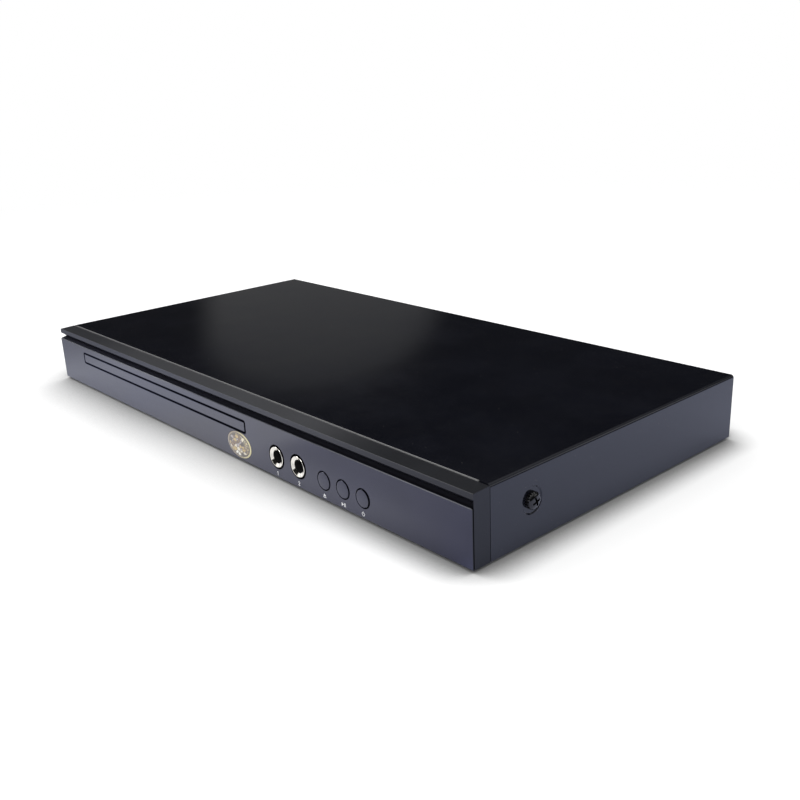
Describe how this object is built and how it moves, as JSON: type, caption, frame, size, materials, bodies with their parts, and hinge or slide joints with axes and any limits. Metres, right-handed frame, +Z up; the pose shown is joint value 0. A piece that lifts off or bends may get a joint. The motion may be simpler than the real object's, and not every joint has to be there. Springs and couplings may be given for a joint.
{
  "type": "disc player with tray",
  "caption": "Slim disc player: folded black cover on a dark grey bezel, sliding disc tray behind a narrow door, two microphone sockets, three round keys and a working loader inside.",
  "frame": {"origin": "on the ground under the middle of the whole part's bounding box", "axes": "+X to the right seen from the front, the front faces -Y, +Z up"},
  "size_m": [0.3648, 0.1908, 0.0332],
  "materials": {
    "cover_black": "gloss black enamel on folded steel",
    "zinc_steel": "zinc-plated sheet",
    "bezel_grey": "gloss dark grey moulding with a blue cast",
    "foot_rubber": "matte black rubber",
    "screw_black": "black oxide, glossy",
    "screw_steel": "bright zinc",
    "badge_gold": "gold and cream print under clear resin",
    "trim_chrome": "polished chrome",
    "black_plastic": "fine matte moulding",
    "grey_plastic": "fine matte moulding",
    "tray_plastic": "satin black moulding",
    "board_green": "green solder mask",
    "board_brown": "bare phenolic board",
    "chip_black": "moulded package",
    "heat_sink": "extruded, bare",
    "capacitor_sleeve": "printed sleeve",
    "transformer_tape": "yellow winding tape and dark core",
    "fuse_glass": "clear tube with bright caps",
    "socket_metal": "nickel plate",
    "collar_colour": "coloured insulating collars",
    "ribbon_white": "white flat cable",
    "lead_red": "insulated wire",
    "belt_rubber": "smooth black rubber",
    "gear_white": "white acetal",
    "motor_can": "drawn steel can",
    "rod_steel": "ground steel",
    "lens_black": "black holder with a clear lens",
    "plunger_red": "switch plunger"
  },
  "bodies": {
    "chassis": {"top_cover": "cover_black", "bottom_pan": "zinc_steel", "front_bezel": "bezel_grey", "back_panel": "zinc_steel", "rubber_feet": "foot_rubber", "side_screws": "screw_black", "back_screws": "screw_black", "front_badge": "badge_gold", "mic_rings": "trim_chrome", "mic_sockets": "black_plastic", "mic_board": "board_green", "key_board": "board_green", "key_switches": "black_plastic", "remote_receiver": "black_plastic", "main_board": "board_green", "board_chips": "chip_black", "chip_heat_sink": "heat_sink", "board_capacitors": "capacitor_sleeve", "power_board": "board_brown", "mains_transformer": "transformer_tape", "power_capacitors": "capacitor_sleeve", "power_heat_sink": "heat_sink", "mains_fuse": "fuse_glass", "mains_inlet": "black_plastic", "pin_socket_block": "black_plastic", "pin_socket_sleeves": "socket_metal", "pin_socket_collars": "collar_colour", "board_screws": "screw_steel", "flat_cables": "ribbon_white", "power_leads": "lead_red", "loader_frame": "grey_plastic", "clamp_bridge": "zinc_steel", "loader_motor": "motor_can", "drive_belt": "belt_rubber", "loader_screws": "screw_steel", "deck_bushes": "black_plastic"},
    "tray": {"disc_tray": "tray_plastic", "tray_door": "bezel_grey"},
    "drive_gear": {"drive_gear": "gear_white"},
    "belt_pulley": {"belt_pulley": "gear_white"},
    "motor_pulley": {"motor_pulley": "gear_white"},
    "lift_slider": {"lift_slider": "gear_white"},
    "deck": {"traverse_deck": "zinc_steel", "spindle_motor": "motor_can", "guide_rods": "rod_steel", "sled_motor": "motor_can"},
    "turntable": {"turntable": "black_plastic", "turntable_pad": "foot_rubber"},
    "sled": {"pickup_sled": "grey_plastic"},
    "lens": {"lens_holder": "lens_black"},
    "lead_screw": {"lead_screw": "rod_steel"},
    "puck": {"clamp_puck": "gear_white", "clamp_magnet": "motor_can"},
    "eject_key": {"eject_key": "bezel_grey", "eject_plunger": "plunger_red"},
    "play_key": {"play_key": "bezel_grey", "play_plunger": "plunger_red"},
    "power_key": {"power_key": "bezel_grey", "power_plunger": "plunger_red"}
  },
  "joints": [
    {"name": "tray_slide", "type": "slide", "parent": "chassis", "child": "tray", "axis": [0, -1, 0], "range_m": [0, 0.134]},
    {"name": "drive_gear_turn", "type": "hinge", "parent": "chassis", "child": "drive_gear", "pos_m": [0.012, -0.0691, 0.0122], "axis": [0, 0, 1], "range_deg": [0, 1098]},
    {"name": "belt_pulley_turn", "type": "hinge", "parent": "chassis", "child": "belt_pulley", "pos_m": [-0.0048, -0.0691, 0.0152], "axis": [0, 0, 1], "range_deg": [-2195, 0]},
    {"name": "motor_pulley_turn", "type": "hinge", "parent": "chassis", "child": "motor_pulley", "pos_m": [-0.0338, -0.0691, 0.0152], "axis": [0, 0, 1], "range_deg": [-9175, 0]},
    {"name": "deck_tilt", "type": "hinge", "parent": "chassis", "child": "deck", "pos_m": [-0.0592, 0.0649, 0.0107], "axis": [1, 0, 0], "range_deg": [0, 2.2]},
    {"name": "lift_slide", "type": "slide", "parent": "chassis", "child": "lift_slider", "axis": [-1, 0, 0], "range_m": [0, 0.00805]},
    {"name": "turntable_turn", "type": "hinge", "parent": "deck", "child": "turntable", "pos_m": [-0.0592, -0.0251, 0.0172], "axis": [0, 0, 1], "continuous": true},
    {"name": "sled_slide", "type": "slide", "parent": "deck", "child": "sled", "axis": [0, 1, 0], "range_m": [0, 0.034]},
    {"name": "lead_screw_turn", "type": "hinge", "parent": "deck", "child": "lead_screw", "pos_m": [-0.0232, 0.0049, 0.0086], "axis": [0, 1, 0], "range_deg": [-4081, 0]},
    {"name": "lens_focus", "type": "slide", "parent": "sled", "child": "lens", "axis": [0, 0, 1], "range_m": [-0.0004, 0.0004], "stiffness_N_per_m": 20},
    {"name": "puck_turn", "type": "hinge", "parent": "chassis", "child": "puck", "pos_m": [-0.0592, -0.0251, 0.0242], "axis": [0, 0, 1], "continuous": true},
    {"name": "eject_press", "type": "slide", "parent": "chassis", "child": "eject_key", "axis": [0, 1, 0], "range_m": [0, 0.0008], "stiffness_N_per_m": 500},
    {"name": "play_press", "type": "slide", "parent": "chassis", "child": "play_key", "axis": [0, 1, 0], "range_m": [0, 0.0008], "stiffness_N_per_m": 500},
    {"name": "power_press", "type": "slide", "parent": "chassis", "child": "power_key", "axis": [0, 1, 0], "range_m": [0, 0.0008], "stiffness_N_per_m": 500}
  ],
  "couplings": [
    {"joint": "drive_gear_turn", "follows": "tray_slide", "rad_per_m": 142.86},
    {"joint": "belt_pulley_turn", "follows": "tray_slide", "rad_per_m": -285.71},
    {"joint": "motor_pulley_turn", "follows": "tray_slide", "rad_per_m": -1194.8},
    {"joint": "lift_slide", "follows": "deck_tilt", "m_per_rad": 0.20835},
    {"joint": "lead_screw_turn", "follows": "sled_slide", "rad_per_m": -2094.4},
    {"joint": "puck_turn", "follows": "turntable_turn", "ratio": 1}
  ]
}
